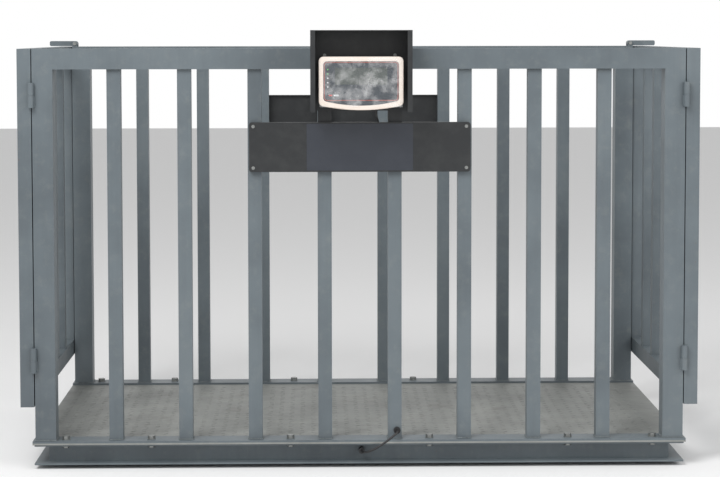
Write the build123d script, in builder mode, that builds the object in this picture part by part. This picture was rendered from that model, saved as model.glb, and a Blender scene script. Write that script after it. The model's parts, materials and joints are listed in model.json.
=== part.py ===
"""Animal weighing scale: a low platform on four load cells, with a barred cage and two end gates.

Millimetres, +Z up, +X to the right along the platform, +Y away from the indicator side.
The origin lies on the floor under the middle of the platform.
"""
from build123d import *
import math
import os

os.makedirs("parts", exist_ok=True)

# ---- driving dimensions -------------------------------------------------------------------
cage_length = 1906.0        # over the posts, along X
cage_width = 1000.0         # over the posts, along Y
cage_height = 1150.0        # from the bottom rails' top to the top rails' top

tube_size = 60.0            # posts and top rails, square tube
tube_wall = 3.0
bar_size = 40.0             # side bars, square tube
bar_wall = 2.5
bar_count = 8
bar_pitch = 205.0

foot_lift = 12.0            # floor to the base frame's underside
channel_height = 60.0
channel_flange = 43.0
channel_wall = 5.0
base_inset = 5.0            # base frame behind the deck plate's edge
deck_overhang = 8.0         # deck plate beyond the posts' outer faces
deck_thickness = 5.0
bottom_rail_width = 70.0
bottom_rail_thickness = 6.0
cross_beam_width = 50.0
cross_beam_pitch = 500.0

cell_length = 130.0
cell_section = 32.0
cell_plate_thickness = 8.0
cell_plate_length = 150.0
cell_plate_width = 70.0
cell_corner_gap = 22.0      # load cell's free end to the side channel's web
cell_hole_inset = 16.0      # foot hole from the load cell's free end
cell_bolt_inset = 18.0      # first fixing bolt from the load cell's fixed end
cell_bolt_pitch = 30.0
cell_hole_gap = 0.25        # radial room round the fixing bolts and the foot stud

stud_radius = 6.0
foot_radius = 25.0
foot_disc = 7.0
pad_thickness = 3.0
hex_height = 8.0
hex_flats = 19.0
washer_radius = 12.0
washer_thickness = 2.5
bolt_radius = 6.0
bolt_hole_gap = 0.5
rail_bolt_places = (205.0, 615.0, 866.0)
rail_bolt_inset = 31.0      # from the bottom rail's outer edge

gate_gap = 3.0              # post face to gate
gate_thickness = 40.0
gate_frame_face = 50.0
gate_wall = 2.5
gate_bar_size = 30.0
gate_bar_count = 4
gate_ground = 100.0         # bottom rail's top to the gate's underside
gate_edge_gap = 1.0         # gate's edges inside the posts' outer faces

hinge_radius = 9.0
hinge_pin_radius = 5.0
hinge_pin_gap = 0.05
hinge_half = 36.0
hinge_split_gap = 0.5
hinge_bead_radius = 3.5
hinge_bead_offset = 7.5
hinge_bead_inset = 3.0
hinge_heights = (322.0, 1098.0)

latch_length = 93.0
latch_width = 30.0
latch_thickness = 17.0
latch_corner = 5.0
latch_rest_gap = 1.5        # latch's underside over the rail and the gate
latch_post_lap = 17.0       # latch's inner end inside the post's outer face
latch_pin_radius = 4.0
latch_pin_gap = 0.05
latch_ear_thickness = 4.0
latch_ear_gap = 0.5
latch_inset = 30.0          # latch's centre line from the post's outer face

board_length = 646.0
board_height = 145.0
board_depth = 14.0
board_sheet = 2.0
board_corner = 8.0
board_front_bottom = 873.0
board_rear_bottom = 921.0
screw_inset = 12.0
screw_radius = 2.5
screw_head_radius = 5.0
screw_head_height = 2.5
screw_gap = 0.1             # radial room round the small screws
screw_grip = 8.0            # screw length behind the bars' faces

hood_width = 292.0
hood_centre = 2.0
hood_height = 234.0
hood_bottom = 1052.0
hood_depth = 116.0
hood_sheet = 2.0
hood_lip = 14.0
strap_width = 40.0
strap_thickness = 4.0
strap_bottom = 890.0
strap_top_gap = 8.0         # strap's end under the top rail's top edge
strap_joggle = 12.0         # height over which a strap steps out on to the rail
strap_step_drop = 4.0       # strap's step under the top rail
hood_screw_drops = (20.0, 42.0)     # the screws under the top rail's top
notch_gap = 1.0             # room round a strap in the board's edge

case_width = 243.0
case_centre = 1.5
case_height = 139.0
case_bow = 14.0             # how far the lower edge bows down
case_corner = 14.0
case_bottom = 1071.0
bezel_depth = 26.0
case_rear_depth = 36.0
case_wall = 3.0
case_front_gap = 14.0       # bezel's front face behind the hood's front edge
face_inset = 13.0
face_recess = 4.0
window_width = 150.0
window_height = 48.0
window_thickness = 1.5
board_thickness = 1.6
bracket_width = 90.0
bracket_height = 60.0
bracket_sheet = 3.0
bracket_bottom = 1110.0
pillar_inset = 26.0
pillar_radius = 5.0
pillar_height = 12.0

cable_diameter = 6.5
indicator_cable_diameter = 5.0
gland_radius = 9.0
gland_length = 22.0
case_gland_radius = 5.5
case_gland_length = 8.0
case_gland_x = 44.0
case_gland_z = 1066.0
gland_place = (5.0, 46.0)           # X and Z on the front channel's web
grommet_radius = 10.0
grommet_depth = 8.0
upper_grommet_height = 996.0
grommet_place = (109.0, 108.0)      # X and Z on the bar's front face

box_length = 120.0
box_width = 80.0
box_height = 38.0
box_wall = 3.0
lid_thickness = 3.0
box_place = (120.0, -60.0)           # X and Y of its middle

# ---- places worked out from them ----------------------------------------------------------
half_length = cage_length / 2
half_width = cage_width / 2
deck_half_x = half_length + deck_overhang
deck_half_y = half_width + deck_overhang
base_half_x = deck_half_x - base_inset
base_half_y = deck_half_y - base_inset
web_x = base_half_x - channel_flange
web_y = base_half_y - channel_flange
channel_top = foot_lift + channel_height
deck_top = channel_top + deck_thickness
rail_top = deck_top + bottom_rail_thickness
frame_top = rail_top + cage_height
post_top = frame_top - tube_size
bar_line = half_width - tube_size / 2
bar_face = bar_line + bar_size / 2
gate_inner = half_length + gate_gap
gate_line = gate_inner + gate_thickness / 2
gate_bottom = rail_top + gate_ground
gate_half_y = half_width - gate_edge_gap
gate_height = frame_top - gate_bottom
hinge_x = half_length + gate_gap / 2
hinge_y = -(half_width + hinge_radius)
SIDES = {"left": -1, "right": 1}
RANKS = {"front": -1, "rear": 1}


def save(part, name):
    """Label one piece and write it to its STEP file."""
    part.part.label = name
    export_step(part.part, f"parts/{name}.step")


bar_places = [(i - (bar_count - 1) / 2) * bar_pitch for i in range(bar_count)]
strap_places = (bar_places[bar_count // 2 - 1], bar_places[bar_count // 2])
hood_screw_places = [
    (x, frame_top - drop) for x in strap_places for drop in hood_screw_drops
]
board_bottoms = {-1: board_front_bottom, 1: board_rear_bottom}


def board_screw_places(rank):
    """X and Z of the four screws of the front (-1) or rear (1) sign board."""
    low = board_bottoms[rank] + screw_inset
    high = board_bottoms[rank] + board_height - screw_inset
    reach = board_length / 2 - screw_inset
    return [(side * reach, height) for side in (-1, 1) for height in (low, high)]


# ---- base frame: four mitred channels with their flanges outward ---------------------------
bolt_line = deck_half_y - rail_bolt_inset
bolt_places = [
    (side * x, rank * bolt_line) for rank in RANKS.values() for x in rail_bolt_places for side in (-1, 1)
]


def mitred_channel(half_run, half_edge, turn):
    """A channel along X at -half_edge, web inward, mitred at both ends, then turned about Z."""
    with BuildPart() as piece:
        with BuildSketch(Plane.YZ.offset(-half_run)):
            with Locations((-half_edge, foot_lift)):
                Rectangle(channel_flange, channel_height, align=(Align.MIN, Align.MIN))
            with Locations((-half_edge, foot_lift + channel_wall)):
                Rectangle(
                    channel_flange - channel_wall,
                    channel_height - 2 * channel_wall,
                    align=(Align.MIN, Align.MIN),
                    mode=Mode.SUBTRACT,
                )
        extrude(amount=2 * half_run)
        for side in (-1, 1):
            corner = side * half_run
            with BuildSketch(Plane.XY):
                with BuildLine():
                    Polyline(
                        (corner, -half_edge),
                        (corner - side * channel_flange, -half_edge + channel_flange),
                        (corner, -half_edge + channel_flange),
                        close=True,
                    )
                make_face()
            extrude(amount=channel_top, mode=Mode.SUBTRACT)
    return piece.part.rotate(Axis.Z, turn)


for side_name, turn in (("left", -90), ("right", 90)):
    with BuildPart() as side_channel:
        add(mitred_channel(base_half_y, base_half_x, turn))
    save(side_channel, f"base_channel_{side_name}")

for rank_name, rank in RANKS.items():
    with BuildPart() as long_channel:
        add(mitred_channel(base_half_x, base_half_y, 90 + 90 * rank))
        with BuildSketch(Plane.XY.offset(channel_top)):
            with Locations(*[place for place in bolt_places if place[1] * rank > 0]):
                Circle(bolt_radius + bolt_hole_gap)
        extrude(amount=-channel_wall, mode=Mode.SUBTRACT)
        if rank_name == "front":
            with BuildSketch(Plane.XZ.offset(web_y)):
                with Locations(gland_place):
                    Circle(gland_radius / 2)
            extrude(amount=channel_wall, mode=Mode.SUBTRACT)
    save(long_channel, f"base_channel_{rank_name}")

beam_half = web_y
with BuildPart() as cross_beams:
    for place in (-cross_beam_pitch, 0, cross_beam_pitch):
        with BuildSketch(Plane.XZ.offset(-beam_half)) as beam:
            with Locations((place, foot_lift + channel_height / 2)):
                Rectangle(cross_beam_width, channel_height)
                Rectangle(
                    cross_beam_width - 2 * tube_wall,
                    channel_height - 2 * tube_wall,
                    mode=Mode.SUBTRACT,
                )
        extrude(amount=2 * beam_half)
save(cross_beams, "cross_beams")

# ---- load cells, their plates, feet and fixings --------------------------------------------
cell_top = channel_top - cell_plate_thickness
cell_bottom = cell_top - cell_section
cell_end = web_x - cell_corner_gap
cell_mid_y = web_y - cell_plate_width / 2
foot_x = cell_end - cell_hole_inset
cell_bolt_x = [
    cell_end - cell_length + cell_bolt_inset,
    cell_end - cell_length + cell_bolt_inset + cell_bolt_pitch,
]
corners = [(side, rank) for rank in RANKS.values() for side in SIDES.values()]

with BuildPart() as cell_plates:
    for side, rank in corners:
        with BuildSketch(Plane.XY.offset(cell_top)) as plate:
            with Locations((side * (cell_end - cell_length / 2 - cell_hole_inset), rank * cell_mid_y)):
                Rectangle(cell_plate_length, cell_plate_width)
            with Locations(*[(side * x, rank * cell_mid_y) for x in cell_bolt_x]):
                Circle(bolt_radius + cell_hole_gap, mode=Mode.SUBTRACT)
            with Locations((side * foot_x, rank * cell_mid_y)):
                Circle(stud_radius + cell_hole_gap, mode=Mode.SUBTRACT)
        extrude(amount=cell_plate_thickness)
save(cell_plates, "cell_plates")

for rank_name, rank in RANKS.items():
    for side_name, side in SIDES.items():
        with BuildPart() as load_cell:
            with BuildSketch(Plane.XY.offset(cell_bottom)) as body:
                with Locations((side * (cell_end - cell_length / 2), rank * cell_mid_y)):
                    Rectangle(cell_length, cell_section)
                with Locations(*[(side * x, rank * cell_mid_y) for x in cell_bolt_x]):
                    Circle(bolt_radius + cell_hole_gap, mode=Mode.SUBTRACT)
                with Locations((side * foot_x, rank * cell_mid_y)):
                    Circle(stud_radius + cell_hole_gap, mode=Mode.SUBTRACT)
            extrude(amount=cell_section)
            with BuildSketch(Plane.XZ.offset(-rank * cell_mid_y - cell_section)) as pocket:
                with Locations((side * (cell_end - cell_length / 2), cell_bottom + cell_section / 2)):
                    Circle(cell_section / 4)
            extrude(amount=2 * cell_section, mode=Mode.SUBTRACT)
        save(load_cell, f"load_cell_{rank_name}_{side_name}")

with BuildPart() as cell_bolts:
    for side, rank in corners:
        for x in cell_bolt_x:
            with BuildSketch(Plane.XY.offset(cell_bottom)) as shank:
                with Locations((side * x, rank * cell_mid_y)):
                    Circle(bolt_radius)
            extrude(amount=cell_section + cell_plate_thickness)
            with BuildSketch(Plane.XY.offset(cell_bottom)) as head:
                with Locations((side * x, rank * cell_mid_y)):
                    RegularPolygon(hex_flats / 2, 6, major_radius=False)
            extrude(amount=-hex_height)
save(cell_bolts, "cell_bolts")

with BuildPart() as levelling_feet:
    for side, rank in corners:
        with BuildSketch(Plane.XY.offset(pad_thickness)) as disc:
            with Locations((side * foot_x, rank * cell_mid_y)):
                Circle(foot_radius)
        extrude(amount=foot_disc)
        with BuildSketch(Plane.XY.offset(pad_thickness)) as stud:
            with Locations((side * foot_x, rank * cell_mid_y)):
                Circle(stud_radius)
        extrude(amount=cell_top - pad_thickness)
save(levelling_feet, "levelling_feet")

with BuildPart() as foot_pads:
    for side, rank in corners:
        with BuildSketch(Plane.XY) as disc:
            with Locations((side * foot_x, rank * cell_mid_y)):
                Circle(foot_radius)
        extrude(amount=pad_thickness)
save(foot_pads, "foot_pads")

with BuildPart() as foot_lock_nuts:
    for side, rank in corners:
        with BuildSketch(Plane.XY.offset(cell_bottom)) as nut:
            with Locations((side * foot_x, rank * cell_mid_y)):
                RegularPolygon(hex_flats / 2, 6, major_radius=False)
                Circle(stud_radius + cell_hole_gap, mode=Mode.SUBTRACT)
        extrude(amount=-hex_height)
save(foot_lock_nuts, "foot_lock_nuts")

# ---- deck plate and bottom rails, bolted down together --------------------------------------
with BuildPart() as deck_plate:
    with BuildSketch(Plane.XY.offset(channel_top)) as sheet:
        Rectangle(2 * deck_half_x, 2 * deck_half_y)
        with Locations(*bolt_places):
            Circle(bolt_radius + bolt_hole_gap, mode=Mode.SUBTRACT)
    extrude(amount=deck_thickness)
save(deck_plate, "deck_plate")

for rank_name, rank in RANKS.items():
    rail_mid = rank * (deck_half_y - bottom_rail_width / 2)
    with BuildPart() as bottom_rail:
        with BuildSketch(Plane.XY.offset(deck_top)) as strip:
            with Locations((0, rail_mid)):
                Rectangle(2 * deck_half_x, bottom_rail_width)
            with Locations(*[place for place in bolt_places if place[1] * rank > 0]):
                Circle(bolt_radius + bolt_hole_gap, mode=Mode.SUBTRACT)
        extrude(amount=bottom_rail_thickness)
    save(bottom_rail, f"bottom_rail_{rank_name}")

nut_top = channel_top - channel_wall
with BuildPart() as rail_bolts:
    for place in bolt_places:
        with BuildSketch(Plane.XY.offset(nut_top - hex_height)) as shank:
            with Locations(place):
                Circle(bolt_radius)
        extrude(amount=rail_top + washer_thickness - nut_top + hex_height)
        with BuildSketch(Plane.XY.offset(rail_top)) as washer:
            with Locations(place):
                Circle(washer_radius)
        extrude(amount=washer_thickness)
        with BuildSketch(Plane.XY.offset(rail_top + washer_thickness)) as head:
            with Locations(place):
                RegularPolygon(hex_flats / 2, 6, major_radius=False)
        extrude(amount=hex_height)
save(rail_bolts, "rail_bolts")

with BuildPart() as rail_nuts:
    for place in bolt_places:
        with BuildSketch(Plane.XY.offset(nut_top)) as nut:
            with Locations(place):
                RegularPolygon(hex_flats / 2, 6, major_radius=False)
                Circle(bolt_radius + hinge_pin_gap, mode=Mode.SUBTRACT)
        extrude(amount=-hex_height)
save(rail_nuts, "rail_nuts")

# ---- cage: posts, top rails and bars ---------------------------------------------------------
for rank_name, rank in RANKS.items():
    for side_name, side in SIDES.items():
        with BuildPart() as post:
            with BuildSketch(Plane.XY.offset(rail_top)) as section:
                with Locations((side * (half_length - tube_size / 2), rank * bar_line)):
                    Rectangle(tube_size, tube_size)
                    Rectangle(tube_size - 2 * tube_wall, tube_size - 2 * tube_wall, mode=Mode.SUBTRACT)
            extrude(amount=post_top - rail_top)
        save(post, f"post_{rank_name}_{side_name}")
    with BuildPart() as top_rail:
        with BuildSketch(Plane.YZ.offset(-half_length)) as section:
            with Locations((rank * bar_line, frame_top - tube_size / 2)):
                Rectangle(tube_size, tube_size)
                Rectangle(tube_size - 2 * tube_wall, tube_size - 2 * tube_wall, mode=Mode.SUBTRACT)
        extrude(amount=cage_length)
        if rank_name == "front":
            with BuildSketch(Plane.XZ.offset(half_width)):
                with Locations(*hood_screw_places):
                    Circle(screw_radius + screw_gap)
            extrude(amount=-tube_wall, mode=Mode.SUBTRACT)
    save(top_rail, f"top_rail_{rank_name}")
    with BuildPart() as bars:
        with BuildSketch(Plane.XY.offset(rail_top)) as section:
            with Locations(*[(x, rank * bar_line) for x in bar_places]):
                Rectangle(bar_size, bar_size)
                Rectangle(bar_size - 2 * bar_wall, bar_size - 2 * bar_wall, mode=Mode.SUBTRACT)
        extrude(amount=post_top - rail_top)
        with BuildSketch(Plane.XZ.offset(-rank * bar_face)):
            with Locations(*board_screw_places(rank)):
                Circle(screw_radius + screw_gap)
        extrude(amount=rank * bar_wall, mode=Mode.SUBTRACT)
    save(bars, f"{rank_name}_bars")

cap_plug = 12.0             # depth of an end cap's plug inside the top rail
cap_plug_gap = 0.2
with BuildPart() as rail_end_caps:
    for side, rank in corners:
        plug = tube_size / 2 - tube_wall - cap_plug_gap
        with BuildSketch(Plane.YZ.offset(side * (half_length - cap_plug))) as section:
            with Locations((rank * bar_line, frame_top - tube_size / 2)):
                Rectangle(2 * plug, 2 * plug)
        extrude(amount=side * cap_plug)
save(rail_end_caps, "rail_end_caps")

# ---- end gates --------------------------------------------------------------------------------
stile_y = gate_half_y - gate_frame_face / 2
clear_y = 2 * (gate_half_y - gate_frame_face)
gate_bar_pitch = clear_y / (gate_bar_count + 1)

for side_name, side in SIDES.items():
    with BuildPart() as stiles:
        with BuildSketch(Plane.XY.offset(gate_bottom)) as section:
            with Locations((side * gate_line, -stile_y), (side * gate_line, stile_y)):
                Rectangle(gate_thickness, gate_frame_face)
                Rectangle(gate_thickness - 2 * gate_wall, gate_frame_face - 2 * gate_wall, mode=Mode.SUBTRACT)
        extrude(amount=gate_height - gate_wall)
        with BuildSketch(Plane.XY.offset(frame_top - gate_wall)) as lid:
            with Locations((side * gate_line, -stile_y), (side * gate_line, stile_y)):
                Rectangle(gate_thickness, gate_frame_face)
        extrude(amount=gate_wall)
    save(stiles, f"gate_{side_name}_stiles")

    with BuildPart() as rails:
        for middle in (gate_bottom + gate_frame_face / 2, frame_top - gate_frame_face / 2):
            with BuildSketch(Plane.XZ.offset(-clear_y / 2)) as section:
                with Locations((side * gate_line, middle)):
                    Rectangle(gate_thickness, gate_frame_face)
                    Rectangle(
                        gate_thickness - 2 * gate_wall,
                        gate_frame_face - 2 * gate_wall,
                        mode=Mode.SUBTRACT,
                    )
            extrude(amount=clear_y)
    save(rails, f"gate_{side_name}_rails")

    with BuildPart() as gate_bars:
        with BuildSketch(Plane.XY.offset(gate_bottom + gate_frame_face)) as section:
            for i in range(gate_bar_count):
                with Locations((side * gate_line, -clear_y / 2 + (i + 1) * gate_bar_pitch)):
                    Rectangle(gate_bar_size, gate_bar_size)
                    Rectangle(
                        gate_bar_size - 2 * gate_wall,
                        gate_bar_size - 2 * gate_wall,
                        mode=Mode.SUBTRACT,
                    )
        extrude(amount=gate_height - 2 * gate_frame_face)
    save(gate_bars, f"gate_{side_name}_bars")

    # lift-off hinges: the lower half and its pin on the post, the upper half on the gate
    with BuildPart() as pins:
        for split in hinge_heights:
            with BuildSketch(Plane.XY.offset(split - hinge_half)) as barrel:
                with Locations((side * hinge_x, hinge_y)):
                    Circle(hinge_radius)
            extrude(amount=hinge_half)
            with BuildSketch(Plane.XY.offset(split - hinge_half + hinge_bead_inset)) as bead:
                with Locations((side * (hinge_x - hinge_bead_offset), -half_width - hinge_bead_radius)):
                    Circle(hinge_bead_radius)
            extrude(amount=hinge_half - 2 * hinge_bead_inset)
            with BuildSketch(Plane.XY.offset(split)) as pin:
                with Locations((side * hinge_x, hinge_y)):
                    Circle(hinge_pin_radius)
            extrude(amount=hinge_half - hinge_bead_inset)
    save(pins, f"hinge_{side_name}_pins")

    with BuildPart() as sleeves:
        for split in hinge_heights:
            with BuildSketch(Plane.XY.offset(split + hinge_split_gap)) as barrel:
                with Locations((side * hinge_x, hinge_y)):
                    Circle(hinge_radius)
            extrude(amount=hinge_half)
            with BuildSketch(Plane.XY.offset(split + hinge_split_gap + hinge_bead_inset)) as bead:
                bead_y = -gate_half_y - hinge_bead_radius
                with Locations((side * (hinge_x + hinge_bead_offset), bead_y)):
                    Circle(hinge_bead_radius)
            extrude(amount=hinge_half - 2 * hinge_bead_inset)
            with BuildSketch(Plane.XY.offset(split + hinge_split_gap)) as bore:
                with Locations((side * hinge_x, hinge_y)):
                    Circle(hinge_pin_radius + hinge_pin_gap)
            extrude(amount=hinge_half - hinge_bead_inset + hinge_split_gap, mode=Mode.SUBTRACT)
    save(sleeves, f"hinge_{side_name}_sleeves")

    # drop latch, lying across the gap from its pivot on the top rail's end
    pivot_z = frame_top + latch_rest_gap + latch_thickness / 2
    inner_end = half_length - latch_post_lap
    pivot_x = inner_end + latch_thickness / 2
    latch_reach = latch_length - latch_thickness / 2
    latch_y = half_width - latch_inset
    with BuildPart() as latch:
        with BuildSketch(Plane.XZ.offset(-latch_y - latch_width / 2)) as profile:
            with Locations((side * (pivot_x + latch_reach / 2), pivot_z)):
                RectangleRounded(latch_reach, latch_thickness, latch_corner)
            with Locations((side * pivot_x, pivot_z)):
                Circle(latch_thickness / 2)
                Circle(latch_pin_radius + latch_pin_gap, mode=Mode.SUBTRACT)
        extrude(amount=latch_width)
    save(latch, f"latch_{side_name}")

with BuildPart() as latch_brackets:
    for side in SIDES.values():
        for ear in (-1, 1):
            inner = latch_width / 2 + latch_ear_gap
            ear_face = -latch_y - ear * (inner + latch_ear_thickness / 2) - latch_ear_thickness / 2
            with BuildSketch(Plane.XZ.offset(ear_face)) as plate:
                with Locations((side * pivot_x, frame_top)):
                    Rectangle(
                        latch_thickness,
                        latch_rest_gap + latch_thickness / 2,
                        align=(Align.CENTER, Align.MIN),
                    )
                with Locations((side * pivot_x, pivot_z)):
                    Circle(latch_thickness / 2)
                    Circle(latch_pin_radius + latch_pin_gap, mode=Mode.SUBTRACT)
            extrude(amount=latch_ear_thickness)
save(latch_brackets, "latch_brackets")

with BuildPart() as latch_pins:
    pin_half = latch_width / 2 + latch_ear_gap + latch_ear_thickness
    for side in SIDES.values():
        with BuildSketch(Plane.XZ.offset(-latch_y - pin_half)) as shaft:
            with Locations((side * pivot_x, pivot_z)):
                Circle(latch_pin_radius)
        extrude(amount=2 * pin_half)
        with BuildSketch(Plane.XZ.offset(-latch_y + pin_half)) as head:
            with Locations((side * pivot_x, pivot_z)):
                Circle(latch_pin_radius + 2)
        extrude(amount=3)
save(latch_pins, "latch_pins")

# ---- sign boards: shallow trays on the side bars ------------------------------------------------
for rank_name, rank in RANKS.items():
    bottom = board_bottoms[rank]
    with BuildPart() as sign_board:
        with BuildSketch(Plane.XZ.offset(-rank * bar_face)):
            with Locations((0, bottom + board_height / 2)):
                RectangleRounded(board_length, board_height, board_corner)
        extrude(amount=-rank * board_depth)
        with BuildSketch(Plane.XZ.offset(-rank * bar_face)):
            with Locations((0, bottom + board_height / 2)):
                RectangleRounded(
                    board_length - 2 * board_sheet,
                    board_height - 2 * board_sheet,
                    board_corner - board_sheet,
                )
        extrude(amount=-rank * (board_depth - board_sheet), mode=Mode.SUBTRACT)
        with BuildSketch(Plane.XZ.offset(-rank * bar_face)):
            with Locations(*board_screw_places(rank)):
                Circle(screw_radius + screw_gap)
        extrude(amount=-rank * board_depth, mode=Mode.SUBTRACT)
        if rank_name == "front":
            with BuildSketch(Plane.XZ.offset(bar_face)):
                with Locations(*[(x, bottom + board_height) for x in strap_places]):
                    Rectangle(strap_width + 2 * notch_gap, 2 * board_sheet + notch_gap)
            extrude(amount=strap_thickness + notch_gap, mode=Mode.SUBTRACT)
    save(sign_board, f"sign_board_{rank_name}")

with BuildPart() as board_screws:
    for rank in RANKS.values():
        board_face = bar_face + board_depth
        with BuildSketch(Plane.XZ.offset(-rank * (bar_face - screw_grip))):
            with Locations(*board_screw_places(rank)):
                Circle(screw_radius)
        extrude(amount=-rank * (board_depth + screw_grip))
        with BuildSketch(Plane.XZ.offset(-rank * board_face)):
            with Locations(*board_screw_places(rank)):
                Circle(screw_head_radius)
        extrude(amount=-rank * screw_head_height)
save(board_screws, "board_screws")

# ---- hood over the indicator, hung on two joggled straps ------------------------------------------
strap_face = half_width + strap_thickness
hood_back = strap_face + hood_sheet
hood_front = strap_face + hood_depth
step_top = post_top - strap_step_drop

with BuildPart() as hood_straps:
    for x in strap_places:
        with BuildSketch(Plane.YZ.offset(x - strap_width / 2)):
            with BuildLine():
                Polyline(
                    (-half_width, frame_top - strap_top_gap),
                    (-strap_face, frame_top - strap_top_gap),
                    (-strap_face, step_top),
                    (-bar_face - strap_thickness, step_top - strap_joggle),
                    (-bar_face - strap_thickness, strap_bottom),
                    (-bar_face, strap_bottom),
                    (-bar_face, step_top - strap_joggle),
                    (-half_width, step_top),
                    close=True,
                )
            make_face()
        extrude(amount=strap_width)
    with BuildSketch(Plane.XZ.offset(half_width)):
        with Locations(*hood_screw_places):
            Circle(screw_radius + screw_gap)
    extrude(amount=strap_thickness, mode=Mode.SUBTRACT)
save(hood_straps, "hood_straps")

with BuildPart() as hood:
    with BuildSketch(Plane.XZ.offset(strap_face)):
        with Locations((hood_centre, hood_bottom)):
            Rectangle(hood_width, hood_height, align=(Align.CENTER, Align.MIN))
    extrude(amount=hood_depth)
    with BuildSketch(Plane.XZ.offset(hood_back)):
        with Locations((hood_centre, hood_bottom)):
            Rectangle(
                hood_width - 2 * hood_sheet,
                hood_height - hood_sheet,
                align=(Align.CENTER, Align.MIN),
            )
    extrude(amount=hood_depth - 2 * hood_sheet, mode=Mode.SUBTRACT)
    with BuildSketch(Plane.XZ.offset(hood_front - hood_sheet)):
        with Locations((hood_centre, hood_bottom)):
            Rectangle(
                hood_width - 2 * hood_lip,
                hood_height - hood_sheet,
                align=(Align.CENTER, Align.MIN),
            )
    extrude(amount=hood_sheet, mode=Mode.SUBTRACT)
    with BuildSketch(Plane.XZ.offset(strap_face)):
        with Locations(*hood_screw_places):
            Circle(screw_radius + screw_gap)
    extrude(amount=hood_sheet, mode=Mode.SUBTRACT)
save(hood, "hood")

with BuildPart() as hood_screws:
    with BuildSketch(Plane.XZ.offset(half_width - screw_grip)):
        with Locations(*hood_screw_places):
            Circle(screw_radius)
    extrude(amount=hood_back - half_width + screw_grip)
    with BuildSketch(Plane.XZ.offset(hood_back)):
        with Locations(*hood_screw_places):
            Circle(screw_head_radius)
    extrude(amount=screw_head_height)
save(hood_screws, "hood_screws")

# ---- indicator: two shells, face, window, circuit board and bracket -------------------------------
case_front = hood_front - case_front_gap
case_joint = case_front - bezel_depth
case_back = case_joint - case_rear_depth
face_plane = case_front - case_wall


def case_outline(inset):
    """The indicator's outline, bowed along its lower edge, drawn inset from the outside."""
    low = case_bottom + inset
    high = case_bottom + case_height - inset
    reach = case_width / 2 - inset
    with BuildLine() as lines:
        Polyline(
            (case_centre - reach, low),
            (case_centre - reach, high),
            (case_centre + reach, high),
            (case_centre + reach, low),
        )
        ThreePointArc(
            (case_centre + reach, low),
            (case_centre, low - case_bow),
            (case_centre - reach, low),
        )
    return make_face(lines.edges())


with BuildPart() as indicator_bezel:
    with BuildSketch(Plane.XZ.offset(case_joint)) as outline:
        case_outline(0)
        fillet(outline.vertices(), case_corner)
    extrude(amount=bezel_depth)
    fillet(indicator_bezel.faces().sort_by(Axis.Y)[0].outer_wire().edges(), case_wall - 0.5)
    with BuildSketch(Plane.XZ.offset(case_joint)) as hollow:
        case_outline(case_wall)
        fillet(hollow.vertices(), case_corner - case_wall)
    extrude(amount=bezel_depth - case_wall, mode=Mode.SUBTRACT)
    with BuildSketch(Plane.XZ.offset(case_front - case_wall)) as opening:
        case_outline(face_inset)
        fillet(opening.vertices(), case_corner - case_wall)
    extrude(amount=case_wall, mode=Mode.SUBTRACT)
save(indicator_bezel, "indicator_bezel")

window_middle = case_bottom + case_height * 0.6
with BuildPart() as indicator_face:
    with BuildSketch(Plane.XZ.offset(face_plane - board_sheet)) as panel:
        case_outline(face_inset / 2)
        fillet(panel.vertices(), case_corner - case_wall)
        with Locations((case_centre, window_middle)):
            Rectangle(window_width, window_height, mode=Mode.SUBTRACT)
    extrude(amount=board_sheet)
save(indicator_face, "indicator_face")

with BuildPart() as display_window:
    with BuildSketch(Plane.XZ.offset(face_plane - window_thickness)):
        with Locations((case_centre, window_middle)):
            Rectangle(window_width, window_height)
    extrude(amount=window_thickness)
save(display_window, "display_window")

with BuildPart() as indicator_back:
    with BuildSketch(Plane.XZ.offset(case_back)) as outline:
        case_outline(0)
        fillet(outline.vertices(), case_corner)
    extrude(amount=case_rear_depth)
    with BuildSketch(Plane.XZ.offset(case_back + case_wall)) as hollow:
        case_outline(case_wall)
        fillet(hollow.vertices(), case_corner - case_wall)
    extrude(amount=case_rear_depth - case_wall, mode=Mode.SUBTRACT)
    with BuildSketch(Plane.XZ.offset(case_back + case_wall)):
        with Locations((case_centre, case_bottom + case_height / 2)):
            with GridLocations(case_width - 2 * pillar_inset, case_height - 2 * pillar_inset, 2, 2):
                Circle(pillar_radius)
    extrude(amount=pillar_height)
save(indicator_back, "indicator_back")

with BuildPart() as circuit_board:
    with BuildSketch(Plane.XZ.offset(case_back + case_wall + pillar_height)):
        with Locations((case_centre, case_bottom + case_height / 2)):
            Rectangle(
                case_width - 2 * (pillar_inset - pillar_radius),
                case_height - 2 * (pillar_inset - pillar_radius),
            )
    extrude(amount=board_thickness)
save(circuit_board, "circuit_board")

with BuildPart() as indicator_bracket:
    bracket_depth = case_back - hood_back
    with BuildSketch(Plane.XY.offset(bracket_bottom)):
        with Locations((case_centre, -hood_back - bracket_depth / 2)):
            Rectangle(bracket_width, bracket_depth)
            Rectangle(bracket_width - 2 * bracket_sheet, bracket_depth - 2 * bracket_sheet, mode=Mode.SUBTRACT)
    extrude(amount=bracket_height)
save(indicator_bracket, "indicator_bracket")

# ---- glands, grommets and the two visible cables ---------------------------------------------------
with BuildPart() as cable_glands:
    with BuildSketch(Plane.XZ.offset(web_y + channel_wall)):
        with Locations(gland_place):
            Circle(gland_radius)
    extrude(amount=gland_length)
    with BuildSketch(Plane.XZ.offset(case_back)):
        with Locations((case_gland_x, case_gland_z)):
            Circle(case_gland_radius)
    extrude(amount=-case_gland_length)
save(cable_glands, "cable_glands")

with BuildPart() as cable_grommets:
    with BuildSketch(Plane.XZ.offset(bar_face)):
        with Locations(grommet_place):
            Circle(grommet_radius)
    extrude(amount=grommet_depth)
    with BuildSketch(Plane.YZ.offset(strap_places[1] - bar_size / 2)):
        with Locations((-bar_line, upper_grommet_height)):
            Circle(grommet_radius)
    extrude(amount=-grommet_depth)
save(cable_grommets, "cable_grommets")

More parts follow.
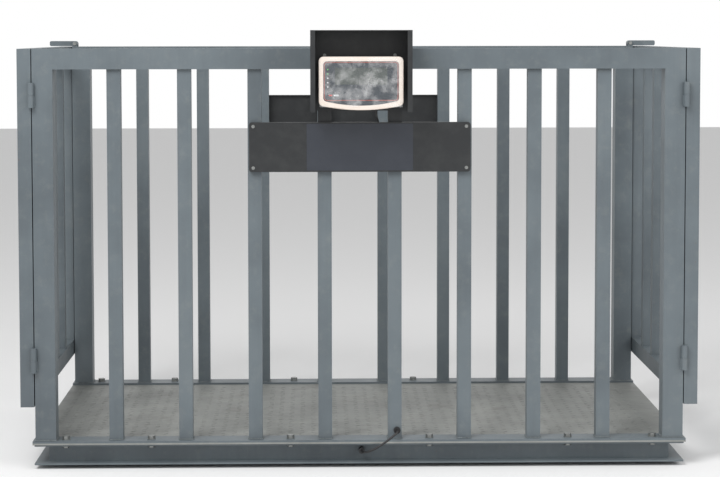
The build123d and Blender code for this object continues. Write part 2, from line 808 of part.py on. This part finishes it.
gland_end = -(web_y + channel_wall + gland_length)
scale_route = [
    (gland_place[0], gland_end, gland_place[1]),
    (gland_place[0], gland_end - 20.0, gland_place[1]),
    (20.0, -deck_half_y - 17.0, 50.0),
    (42.0, -deck_half_y - 22.0, 60.0),
    (66.0, -deck_half_y - 23.0, 75.0),
    (88.0, -deck_half_y - 21.0, 91.0),
    (grommet_place[0], -(bar_face + grommet_depth) - 23.0, grommet_place[1] - 2.0),
    (grommet_place[0], -(bar_face + grommet_depth) - 14.0, grommet_place[1]),
    (grommet_place[0], -(bar_face + grommet_depth), grommet_place[1]),
]
case_gland_end = case_gland_length - case_back
upper_grommet_place = (-bar_line, upper_grommet_height)     # Y and Z on the bar's left face
upper_end = strap_places[1] - bar_size / 2 - grommet_depth
indicator_route = [
    (case_gland_x, case_gland_end, case_gland_z),
    (case_gland_x, case_gland_end + 12.0, case_gland_z),
    (case_gland_x + 2.0, case_gland_end + 23.0, 1054.0),
    (case_gland_x + 4.0, case_gland_end + 31.0, 1040.0),
    (case_gland_x + 8.0, -bar_face - 4.0, 1027.0),
    (case_gland_x + 11.0, -bar_face + 8.0, 1015.0),
    (upper_end - 21.0, upper_grommet_place[0] - 4.0, upper_grommet_place[1] + 9.0),
    (upper_end - 13.0, *upper_grommet_place),
    (upper_end, *upper_grommet_place),
]


def cable(name, route, diameter):
    """A cable of straight runs joined by tangent arcs, as wide as the runs beside them allow."""
    points = [Vector(*place) for place in route]
    radii = []
    for before, corner, after in zip(points, points[1:], points[2:]):
        run_in = corner - before
        run_out = after - corner
        turn = math.radians(run_in.get_angle(run_out))
        shorter = min(run_in.length, run_out.length)
        radii.append(0.45 * shorter / math.tan(turn / 2))
    with BuildPart() as tube:
        with BuildLine():
            path = FilletPolyline(*route, radius=radii)
        with BuildSketch(Plane(origin=path @ 0, z_dir=path % 0)):
            Circle(diameter / 2)
        sweep()
    section = math.pi * (diameter / 2) ** 2
    print(name, "length", round(path.length, 1), "radii", [round(r, 1) for r in radii])
    print(name, "volume ratio", round(tube.part.volume / (section * path.length), 4))
    save(tube, name)


cable("load_cell_cable", scale_route, cable_diameter)
cable("indicator_cable", indicator_route, indicator_cable_diameter)

# ---- junction box under the deck --------------------------------------------------------------------
with BuildPart() as junction_box:
    with BuildSketch(Plane.XY.offset(channel_top)):
        with Locations(box_place):
            Rectangle(box_length, box_width)
    extrude(amount=-box_height)
    with BuildSketch(Plane.XY.offset(channel_top - box_wall)):
        with Locations(box_place):
            Rectangle(box_length - 2 * box_wall, box_width - 2 * box_wall)
    extrude(amount=-box_height, mode=Mode.SUBTRACT)
save(junction_box, "junction_box")

with BuildPart() as junction_lid:
    with BuildSketch(Plane.XY.offset(channel_top - box_height)):
        with Locations(box_place):
            Rectangle(box_length, box_width)
    extrude(amount=-lid_thickness)
save(junction_lid, "junction_lid")
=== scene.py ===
import json
import math
import random

import bmesh
import bpy
from mathutils import Matrix, Vector


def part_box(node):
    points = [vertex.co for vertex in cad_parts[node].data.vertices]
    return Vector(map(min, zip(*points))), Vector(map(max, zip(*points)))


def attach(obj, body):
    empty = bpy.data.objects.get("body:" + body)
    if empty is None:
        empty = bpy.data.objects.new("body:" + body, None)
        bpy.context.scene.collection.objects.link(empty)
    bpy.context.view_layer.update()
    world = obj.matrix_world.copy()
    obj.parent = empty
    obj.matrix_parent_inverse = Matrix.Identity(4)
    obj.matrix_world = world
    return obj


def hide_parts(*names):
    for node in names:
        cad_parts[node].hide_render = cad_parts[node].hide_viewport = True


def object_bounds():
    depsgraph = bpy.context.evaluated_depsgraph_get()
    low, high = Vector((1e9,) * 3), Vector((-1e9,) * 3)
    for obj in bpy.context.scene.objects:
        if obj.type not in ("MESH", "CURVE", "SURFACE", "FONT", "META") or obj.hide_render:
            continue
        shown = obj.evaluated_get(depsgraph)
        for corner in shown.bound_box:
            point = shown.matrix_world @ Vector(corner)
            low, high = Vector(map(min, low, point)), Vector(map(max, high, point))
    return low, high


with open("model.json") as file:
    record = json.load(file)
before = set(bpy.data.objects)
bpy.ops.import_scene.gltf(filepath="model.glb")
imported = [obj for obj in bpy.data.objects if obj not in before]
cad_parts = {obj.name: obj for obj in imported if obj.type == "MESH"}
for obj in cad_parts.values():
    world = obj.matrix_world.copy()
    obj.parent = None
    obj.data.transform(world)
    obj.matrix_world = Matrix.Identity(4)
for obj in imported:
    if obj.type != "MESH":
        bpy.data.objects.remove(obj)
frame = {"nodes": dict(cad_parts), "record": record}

cad_box = [[float(value) for value in corner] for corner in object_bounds()]
random.seed(7)
MM = 0.001


# ---- camera ------------------------------------------------------------------------------
def make_camera():
    """A long lens a little left of the middle, looking slightly down and to the right."""
    data = bpy.data.cameras.new("camera")
    camera = bpy.data.objects.new("camera", data)
    bpy.context.scene.collection.objects.link(camera)
    rail_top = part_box("bottom_rail_front")[1][2]
    post_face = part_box("post_front_left")[0][1]
    camera.location = (-0.130, post_face - 5.642, rail_top + 1.194)
    pitch, yaw, roll = math.radians(90 - 3.47), math.radians(-1.2), math.radians(-0.07)
    turn = Matrix.Rotation(yaw, 4, "Z") @ Matrix.Rotation(pitch, 4, "X") @ Matrix.Rotation(roll, 4, "Z")
    camera.rotation_euler = turn.to_euler()
    data.sensor_width = 36.0
    data.lens = 96.85
    data.shift_x = 0.0058
    data.shift_y = -0.122
    data.clip_end = 60.0
    bpy.context.scene.camera = camera


make_camera()


# ---- node helpers ---------------------------------------------------------------------------
class Graph:
    """A small writer of shader nodes for one material."""

    def __init__(self, name):
        self.material = bpy.data.materials.new(name)
        self.material.use_nodes = True
        self.tree = self.material.node_tree
        self.shader = self.tree.nodes["Principled BSDF"]
        self.place = self.add("ShaderNodeTexCoord").outputs["Object"]

    def add(self, kind, **values):
        node = self.tree.nodes.new(kind)
        for key, value in values.items():
            setattr(node, key, value)
        return node

    def link(self, source, target):
        self.tree.links.new(source, target)

    def noise(self, scale, detail=4.0, rough=0.55, stretch=None):
        node = self.add("ShaderNodeTexNoise")
        node.inputs["Scale"].default_value = scale
        node.inputs["Detail"].default_value = detail
        node.inputs["Roughness"].default_value = rough
        source = self.place
        if stretch:
            mapping = self.add("ShaderNodeMapping")
            mapping.inputs["Scale"].default_value = stretch
            self.link(self.place, mapping.inputs["Vector"])
            source = mapping.outputs["Vector"]
        self.link(source, node.inputs["Vector"])
        return node.outputs["Fac"]

    def ramp(self, factor, stops):
        node = self.add("ShaderNodeValToRGB")
        elements = node.color_ramp.elements
        while len(elements) < len(stops):
            elements.new(0.5)
        for element, (place, colour) in zip(elements, stops):
            element.position = place
            element.color = colour if len(colour) == 4 else (*colour, 1.0)
        self.link(factor, node.inputs["Fac"])
        return node.outputs["Color"]

    def mix(self, factor, first, second, blend="MIX"):
        node = self.add("ShaderNodeMix", data_type="RGBA", blend_type=blend)
        for value, socket in ((factor, node.inputs[0]), (first, node.inputs[6]), (second, node.inputs[7])):
            if isinstance(value, (float, int)):
                socket.default_value = value
            elif isinstance(value, tuple):
                socket.default_value = (*value, 1.0)
            else:
                self.link(value, socket)
        return node.outputs[2]

    def maths(self, operation, first, second=0.0):
        node = self.add("ShaderNodeMath", operation=operation)
        for value, socket in zip((first, second), node.inputs):
            if isinstance(value, (float, int)):
                socket.default_value = value
            else:
                self.link(value, socket)
        return node.outputs[0]

    def edges(self, strength=1.0):
        """Bright at outer edges, for wear and caught light."""
        pointy = self.add("ShaderNodeNewGeometry").outputs["Pointiness"]
        return self.maths("MULTIPLY", self.maths("SUBTRACT", pointy, 0.5), strength)

    def bump(self, height, strength, distance):
        node = self.add("ShaderNodeBump")
        node.inputs["Strength"].default_value = strength
        node.inputs["Distance"].default_value = distance
        self.link(height, node.inputs["Height"])
        self.link(node.outputs["Normal"], self.shader.inputs["Normal"])

    def rough(self, factor, low, high):
        node = self.add("ShaderNodeMapRange")
        node.inputs["To Min"].default_value = low
        node.inputs["To Max"].default_value = high
        self.link(factor, node.inputs["Value"])
        self.link(node.outputs["Result"], self.shader.inputs["Roughness"])


def srgb(red, green, blue):
    """A colour given as 0 to 255 display values, in linear light."""
    return tuple(((value / 255 + 0.055) / 1.055) ** 2.4 for value in (red, green, blue))


# ---- materials --------------------------------------------------------------------------------
def frame_paint():
    """Blue-grey paint over square tube: dusty, with runs, chips and rust specks."""
    g = Graph("frame_paint")
    broad = g.noise(3.0, 5.0)
    base = g.ramp(broad, [(0.3, srgb(84, 92, 97)), (0.55, srgb(98, 107, 112)), (0.8, srgb(109, 117, 121))])
    dust = g.ramp(g.noise(28.0, 6.0, 0.7), [(0.52, (0, 0, 0)), (0.75, (1, 1, 1))])
    dusty = g.mix(g.maths("MULTIPLY", dust, 0.22), base, srgb(139, 141, 136))
    streaks = g.ramp(g.noise(9.0, 5.0, 0.6, (6.0, 6.0, 0.35)), [(0.45, (0, 0, 0)), (0.8, (1, 1, 1))])
    streaked = g.mix(g.maths("MULTIPLY", streaks, 0.18), dusty, srgb(70, 76, 80))
    specks = g.ramp(g.noise(95.0, 2.0), [(0.735, (0, 0, 0)), (0.76, (1, 1, 1))])
    patches = g.ramp(g.noise(5.0, 3.0), [(0.55, (0, 0, 0)), (0.65, (1, 1, 1))])
    rust = g.maths("MULTIPLY", specks, patches)
    rusty = g.mix(g.maths("MULTIPLY", rust, 0.7), streaked, srgb(104, 74, 54))
    g.link(rusty, g.shader.inputs["Base Color"])
    g.shader.inputs["Metallic"].default_value = 0.0
    g.shader.inputs["Specular IOR Level"].default_value = 0.45
    g.rough(g.noise(14.0, 4.0), 0.36, 0.58)
    g.bump(g.noise(160.0, 3.0), 0.12, 0.0006)
    return g.material


def deck_paint():
    """Worn grey paint on the deck, scuffed to bare steel and marked with dirt."""
    g = Graph("deck_paint")
    base = g.ramp(g.noise(4.0, 6.0, 0.65), [(0.3, srgb(118, 120, 117)), (0.55, srgb(137, 139, 136)), (0.8, srgb(152, 153, 149))])
    scuffs = g.ramp(g.noise(22.0, 6.0, 0.7, (1.0, 4.0, 1.0)), [(0.5, (0, 0, 0)), (0.72, (1, 1, 1))])
    scuffed = g.mix(g.maths("MULTIPLY", scuffs, 0.3), base, srgb(168, 168, 162))
    dirt = g.ramp(g.noise(7.0, 7.0, 0.7), [(0.56, (0, 0, 0)), (0.7, (1, 1, 1))])
    dirty = g.mix(g.maths("MULTIPLY", dirt, 0.35), scuffed, srgb(96, 92, 84))
    g.link(dirty, g.shader.inputs["Base Color"])
    g.rough(g.noise(18.0, 5.0), 0.42, 0.7)
    g.bump(g.noise(210.0, 4.0), 0.2, 0.0006)
    return g.material


def metal(name, colour, low, high, scale, stretch=None):
    """Bare or plated metal with fine grain and slight stains."""
    g = Graph(name)
    stains = g.ramp(g.noise(scale, 5.0, 0.65), [(0.35, tuple(value * 0.72 for value in colour)), (0.7, colour)])
    g.link(stains, g.shader.inputs["Base Color"])
    g.shader.inputs["Metallic"].default_value = 0.85
    g.rough(g.noise(scale * 3.0, 3.0, 0.5, stretch), low, high)
    g.bump(g.noise(scale * 6.0, 2.0, 0.5, stretch), 0.1, 0.0003)
    return g.material


def moulded(name, colour, low, high, grain=420.0, dirt_colour=None, dirt=0.12, depth=0.0002):
    """Plastic, rubber or powder coat: fine grain, faint dirt and uneven sheen."""
    g = Graph(name)
    marks = g.ramp(g.noise(16.0, 6.0, 0.7), [(0.45, (0, 0, 0)), (0.8, (1, 1, 1))])
    shade = dirt_colour or tuple(min(1.0, value * 2.2 + 0.01) for value in colour)
    coloured = g.mix(g.maths("MULTIPLY", marks, dirt), colour, shade)
    g.link(coloured, g.shader.inputs["Base Color"])
    g.rough(g.noise(24.0, 4.0), low, high)
    g.bump(g.noise(grain, 2.0), 0.25, depth)
    return g.material


def window_pane():
    """The clear display window over an unlit grey-green display."""
    g = Graph("window_pane")
    haze = g.ramp(g.noise(60.0, 3.0), [(0.3, srgb(52, 60, 58)), (0.7, srgb(64, 72, 68))])
    g.link(haze, g.shader.inputs["Base Color"])
    g.rough(g.noise(30.0, 3.0), 0.06, 0.14)
    g.shader.inputs["Coat Weight"].default_value = 0.6
    return g.material


def clear_film():
    """Crumpled clear film: glossy, with painted highlight, white patches along its creases in place of its glare."""
    g = Graph("clear_film")
    creases = g.noise(26.0, 5.0, 0.6)
    g.shader.inputs["Base Color"].default_value = (1.0, 1.0, 1.0, 1.0)
    g.shader.inputs["Transmission Weight"].default_value = 0.0
    # painted highlight: white base at 5 to 42 per cent cover, more along the creases, stands in for the wrap's glare
    film_glare_alpha = g.add("ShaderNodeMapRange")
    film_glare_alpha.inputs["From Min"].default_value = 0.42
    film_glare_alpha.inputs["From Max"].default_value = 0.75
    film_glare_alpha.inputs["To Min"].default_value = 0.05
    film_glare_alpha.inputs["To Max"].default_value = 0.42
    g.link(creases, film_glare_alpha.inputs["Value"])
    g.link(film_glare_alpha.outputs["Result"], g.shader.inputs["Alpha"])
    g.rough(creases, 0.05, 0.22)
    g.bump(creases, 0.8, 0.004)
    return g.material


MATERIALS = {
    "frame_paint": frame_paint(),
    "deck_paint": deck_paint(),
    "cell_alloy": metal("cell_alloy", (0.72, 0.73, 0.74), 0.25, 0.4, 30.0, (1.0, 12.0, 12.0)),
    "zinc_fixings": metal("zinc_fixings", srgb(150, 152, 150), 0.34, 0.55, 60.0),
    "black_rubber": moulded("black_rubber", srgb(26, 26, 27), 0.6, 0.8),
    "black_sheet": moulded("black_sheet", srgb(30, 32, 34), 0.34, 0.5, 300.0, srgb(92, 94, 92), 0.16),
    "cream_plastic": moulded("cream_plastic", srgb(226, 214, 204), 0.34, 0.46, 380.0, srgb(196, 180, 160), 0.3),
    "face_film": moulded("face_film", srgb(44, 52, 60), 0.2, 0.32, 200.0, srgb(84, 92, 98), 0.2, 0.0001),
    "window": window_pane(),
    "circuit": moulded("circuit", srgb(28, 92, 58), 0.3, 0.45),
    "dark_plastic": moulded("dark_plastic", srgb(38, 39, 41), 0.4, 0.55),
    "cable_sheath": moulded("cable_sheath", srgb(24, 24, 26), 0.38, 0.55, 260.0, srgb(96, 92, 84), 0.22),
}
TRIM = moulded("case_trim", srgb(142, 62, 48), 0.4, 0.55)
LABEL = moulded("plain_label", srgb(46, 50, 58), 0.26, 0.4, 200.0, srgb(86, 90, 96), 0.12, 0.0001)
BEAD = metal("weld_bead", srgb(128, 134, 136), 0.4, 0.6, 90.0)
FILM = clear_film()
GREEN = moulded("green_mark", srgb(90, 170, 96), 0.3, 0.4)
RED = moulded("red_mark", srgb(196, 58, 48), 0.3, 0.4)
PALE = moulded("pale_mark", srgb(206, 210, 212), 0.3, 0.4)


def paint_nodes():
    """Each carried-over CAD node takes its slot's material."""
    slots = {row["node"]: row["material_slot"] for row in frame["record"]["subparts"]}
    for name, node in frame["nodes"].items():
        for slot in node.material_slots:
            slot.material = MATERIALS[slots[name]]
        if not node.material_slots:
            node.data.materials.append(MATERIALS[slots[name]])


paint_nodes()


# ---- mesh helpers ----------------------------------------------------------------------------------
def piece(name, mesh_maker, material, body="root", smooth=False):
    """A new mesh piece, made by mesh_maker(bmesh), that rides on a body."""
    bm = bmesh.new()
    mesh_maker(bm)
    bmesh.ops.recalc_face_normals(bm, faces=bm.faces)
    mesh = bpy.data.meshes.new(name)
    bm.to_mesh(mesh)
    bm.free()
    mesh.materials.append(material)
    if smooth:
        for face in mesh.polygons:
            face.use_smooth = True
    obj = bpy.data.objects.new(name, mesh)
    bpy.context.scene.collection.objects.link(obj)
    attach(obj, body)
    return obj


# ---- cords ------------------------------------------------------------------------------------------
CORDS = {
    "load_cell_cable": (0.0065, 0.1715, [
        (0.005, -0.487, 0.046),
        (0.005, -0.507, 0.046),
        (0.020, -0.525, 0.050),
        (0.042, -0.530, 0.060),
        (0.066, -0.531, 0.075),
        (0.088, -0.529, 0.091),
        (0.109, -0.521, 0.106),
        (0.109, -0.512, 0.108),
        (0.109, -0.498, 0.108),
    ]),
    "indicator_cable": (0.005, 0.1157, [
        (0.044, -0.536, 1.066),
        (0.044, -0.524, 1.066),
        (0.046, -0.513, 1.054),
        (0.048, -0.505, 1.040),
        (0.052, -0.494, 1.027),
        (0.055, -0.482, 1.015),
        (0.0535, -0.474, 1.005),
        (0.0615, -0.470, 0.996),
        (0.0745, -0.470, 0.996),
    ]),
}


def make_cord(name, diameter, route):
    """A smooth cable along its route, in place of its CAD tube."""
    curve = bpy.data.curves.new(name + "_line", "CURVE")
    curve.dimensions = "3D"
    spline = curve.splines.new("NURBS")
    spline.points.add(len(route) - 1)
    for point, place in zip(spline.points, route):
        point.co = (*place, 1.0)
    spline.order_u = 3
    spline.use_endpoint_u = True
    spline.resolution_u = 12
    curve.bevel_depth = diameter / 2
    curve.bevel_resolution = 5
    curve.use_fill_caps = True
    curve.materials.append(MATERIALS["cable_sheath"])
    cord = bpy.data.objects.new(name + "_sheath", curve)
    bpy.context.scene.collection.objects.link(cord)
    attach(cord, "root")
    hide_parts(name)


for cord_name, (cord_diameter, cord_length, cord_route) in CORDS.items():
    make_cord(cord_name, cord_diameter, cord_route)


# ---- chequer plate's raised lugs -------------------------------------------------------------------------
def make_lugs():
    """Teardrop lugs in a five-bar-free, alternating pattern over the deck between the bottom rails."""
    low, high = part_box("deck_plate")
    rail_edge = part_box("bottom_rail_rear")[0][1]
    pitch, length, width, rise = 0.034, 0.026, 0.0065, 0.0012
    columns = int((high[0] - low[0] - 2 * pitch) / pitch)
    rows = int((2 * rail_edge - pitch) / pitch)

    def fill(bm):
        for i in range(columns):
            for j in range(rows):
                x = low[0] + pitch * (i + 1.2)
                y = -rail_edge + pitch * (j + 0.9)
                turn = math.radians(45 if (i + j) % 2 else -45)
                ring = []
                for k in range(8):
                    angle = math.tau * k / 8
                    across = math.cos(angle) * length / 2
                    along = math.sin(angle) * width / 2
                    ring.append((
                        x + across * math.cos(turn) - along * math.sin(turn),
                        y + across * math.sin(turn) + along * math.cos(turn),
                    ))
                base = [bm.verts.new((px, py, high[2] - 0.0002)) for px, py in ring]
                crown = [bm.verts.new((x + (px - x) * 0.62, y + (py - y) * 0.62, high[2] + rise)) for px, py in ring]
                for k in range(8):
                    n = (k + 1) % 8
                    bm.faces.new((base[k], base[n], crown[n], crown[k]))
                bm.faces.new(crown)

    piece("deck_lugs", fill, MATERIALS["deck_paint"])


make_lugs()


# ---- weld beads at the feet and heads of the uprights ------------------------------------------------------
def bead_run(bm, start, end, radius):
    """A rippled bead from start to end, half sunk in the corner it fills."""
    start, end = Vector(start), Vector(end)
    steps = max(3, int((end - start).length / 0.004))
    for step in range(steps):
        place = start.lerp(end, (step + 0.5) / steps)
        wide = radius * random.uniform(0.85, 1.15)
        ball = bmesh.ops.create_icosphere(bm, subdivisions=1, radius=wide)["verts"]
        bmesh.ops.translate(bm, verts=ball, vec=place)


def make_beads():
    """Beads round the foot of each upright, and under the top rails on the outer faces."""
    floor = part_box("bottom_rail_front")[1][2]
    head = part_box("post_front_left")[1][2]
    bars, pitch, half = 8, 0.205, 0.020
    places = [((i - (bars - 1) / 2) * pitch, half) for i in range(bars)]
    post_low, post_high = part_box("post_front_right")
    post_mid = (post_low[0] + post_high[0]) / 2
    places += [(side * post_mid, (post_high[0] - post_low[0]) / 2) for side in (-1, 1)]
    line = -(post_low[1] + post_high[1]) / 2

    def fill(bm):
        for rank in (-1, 1):
            for x, reach in places:
                for face in (-1, 1):
                    y = rank * line + face * (reach + 0.0004)
                    bead_run(bm, (x - reach, y, floor + 0.0008), (x + reach, y, floor + 0.0008), 0.0028)
                    side_x = x + face * (reach + 0.0004)
                    bead_run(bm, (side_x, rank * line - reach, floor + 0.0008), (side_x, rank * line + reach, floor + 0.0008), 0.0028)
                    if reach < 0.025:
                        bead_run(bm, (x - reach, y, head - 0.0008), (x + reach, y, head - 0.0008), 0.0024)

    piece("weld_beads", fill, BEAD, smooth=True)


make_beads()


# ---- indicator's trim line, marks and wrap; the plain label ---------------------------------------------------
def rounded(width, height, corner, steps=6):
    """Points round a rounded rectangle centred on 0, counter-clockwise."""
    points = []
    for quarter, (sx, sz) in enumerate(((1, 1), (-1, 1), (-1, -1), (1, -1))):
        for step in range(steps + 1):
            angle = math.pi / 2 * (quarter + step / steps)
            points.append((
                sx * (width / 2 - corner) + corner * math.cos(angle),
                sz * (height / 2 - corner) + corner * math.sin(angle),
            ))
    return points


def plate(name, centre, width, height, corner, face_y, depth, material):
    """A thin rounded plate standing proud of a face that looks along -Y."""
    outline = rounded(width, height, corner)

    def fill(bm):
        back = [bm.verts.new((centre[0] + x, face_y, centre[1] + z)) for x, z in outline]
        front = [bm.verts.new((centre[0] + x, face_y - depth, centre[1] + z)) for x, z in outline]
        bm.faces.new(front)
        bm.faces.new(back[::-1])
        for k in range(len(outline)):
            n = (k + 1) % len(outline)
            bm.faces.new((back[k], back[n], front[n], front[k]))

    return piece(name, fill, material)


def make_label():
    """The plain centre panel on the front board, where the printed label was."""
    low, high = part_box("sign_board_front")
    plate(
        "board_label", (0.0, (low[2] + high[2]) / 2), 0.310, high[2] - low[2] - 0.008, 0.003,
        low[1], 0.0006, LABEL,
    )


def make_indicator_marks():
    """A red-brown line inside the bezel and a few plain marks on the face."""
    low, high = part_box("indicator_face")
    face_y = low[1]
    bezel_low, bezel_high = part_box("indicator_bezel")
    middle = ((bezel_low[0] + bezel_high[0]) / 2, (low[2] + high[2]) / 2 + 0.006)
    outer = rounded(0.213, 0.111, 0.009)
    inner = rounded(0.2085, 0.1065, 0.007)

    def ring(bm):
        a = [bm.verts.new((middle[0] + x, face_y - 0.0004, middle[1] + z)) for x, z in outer]
        b = [bm.verts.new((middle[0] + x, face_y - 0.0004, middle[1] + z)) for x, z in inner]
        for k in range(len(a)):
            n = (k + 1) % len(a)
            bm.faces.new((a[k], a[n], b[n], b[k]))

    piece("indicator_trim", ring, TRIM)
    for i in range(5):
        dot = (bezel_low[0] + 0.026, middle[1] + 0.034 - i * 0.0125)
        plate(f"indicator_lamp_{i + 1}", dot, 0.004, 0.004, 0.0019, face_y, 0.0006, GREEN if i < 2 else PALE)
    plate("indicator_mark_red", (bezel_low[0] + 0.034, middle[1] - 0.040), 0.010, 0.004, 0.001, face_y, 0.0004, RED)
    plate("indicator_mark_pale", (bezel_low[0] + 0.050, middle[1] - 0.040), 0.014, 0.004, 0.001, face_y, 0.0004, PALE)


def make_film():
    """The crumpled clear wrap over the indicator's front."""
    low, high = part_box("indicator_bezel")
    across, up = 44, 30
    width, height = high[0] - low[0] - 0.006, high[2] - low[2] - 0.012
    front = low[1] - 0.0012

    def fill(bm):
        grid = []
        for j in range(up + 1):
            row = []
            for i in range(across + 1):
                x = low[0] + 0.003 + width * i / across
                z = low[2] + 0.009 + height * j / up
                crease = abs(math.sin(i * 0.9 + 1.3 * math.sin(j * 0.5))) * 0.0022 + random.uniform(0, 0.0012)
                row.append(bm.verts.new((x, front - crease, z)))
            grid.append(row)
        for j in range(up):
            for i in range(across):
                bm.faces.new((grid[j][i], grid[j][i + 1], grid[j + 1][i + 1], grid[j + 1][i]))

    piece("indicator_wrap", fill, FILM, smooth=True)


make_label()
make_indicator_marks()
make_film()


# ---- stage -------------------------------------------------------------------------------------------
def camera_white(material, colour):
    """A factor in the material's nodes: 1 where the camera, a gloss or a transmission ray sees it, else 0."""
    tree = material.node_tree
    nodes, links = tree.nodes, tree.links
    path = nodes.new("ShaderNodeLightPath")
    seen = nodes.new("ShaderNodeMath")
    seen.operation = "MAXIMUM"
    links.new(path.outputs["Is Camera Ray"], seen.inputs[0])
    links.new(path.outputs["Is Glossy Ray"], seen.inputs[1])
    both = nodes.new("ShaderNodeMath")
    both.operation = "MAXIMUM"
    links.new(seen.outputs[0], both.inputs[0])
    links.new(path.outputs["Is Transmission Ray"], both.inputs[1])
    return both.outputs[0]


def make_world():
    """Soft even light, seen as white."""
    world = bpy.data.worlds.new("world")
    bpy.context.scene.world = world
    world.use_nodes = True
    nodes, links = world.node_tree.nodes, world.node_tree.links
    background = nodes["Background"]
    background.inputs["Color"].default_value = (1.0, 1.0, 1.0, 1.0)
    path = nodes.new("ShaderNodeLightPath")
    first = nodes.new("ShaderNodeMath")
    first.operation = "MAXIMUM"
    second = nodes.new("ShaderNodeMath")
    second.operation = "MAXIMUM"
    strength = nodes.new("ShaderNodeMapRange")
    strength.inputs["To Min"].default_value = 0.55
    strength.inputs["To Max"].default_value = 1.0
    links.new(path.outputs["Is Camera Ray"], first.inputs[0])
    links.new(path.outputs["Is Glossy Ray"], first.inputs[1])
    links.new(first.outputs[0], second.inputs[0])
    links.new(path.outputs["Is Transmission Ray"], second.inputs[1])
    links.new(second.outputs[0], strength.inputs["Value"])
    links.new(strength.outputs["Result"], background.inputs["Strength"])


def make_floor():
    """A wide pale floor under the feet."""
    material = bpy.data.materials.new("pale_floor")
    material.use_nodes = True
    shader = material.node_tree.nodes["Principled BSDF"]
    shader.inputs["Base Color"].default_value = (0.9, 0.9, 0.9, 1.0)
    shader.inputs["Roughness"].default_value = 0.9
    bpy.ops.mesh.primitive_plane_add(size=40.0, location=(0.0, 0.0, cad_box[0][2] - 0.0005))
    floor = bpy.context.object
    floor.name = "floor"
    floor.data.materials.append(material)


def make_lamp(name, place, target, size, power):
    """One soft square lamp."""
    data = bpy.data.lights.new(name, "AREA")
    data.size = size
    data.energy = power
    lamp = bpy.data.objects.new(name, data)
    bpy.context.scene.collection.objects.link(lamp)
    lamp.location = place
    aim = Vector(target) - Vector(place)
    lamp.rotation_euler = aim.to_track_quat("-Z", "Y").to_euler()


make_world()
make_floor()
make_lamp("key", (-2.2, -3.6, 4.6), (0.0, 0.0, 0.5), 2.6, 210.0)
make_lamp("fill", (3.4, -3.0, 2.6), (0.0, 0.0, 0.6), 3.0, 70.0)
bpy.context.scene.view_settings.view_transform = "Standard"
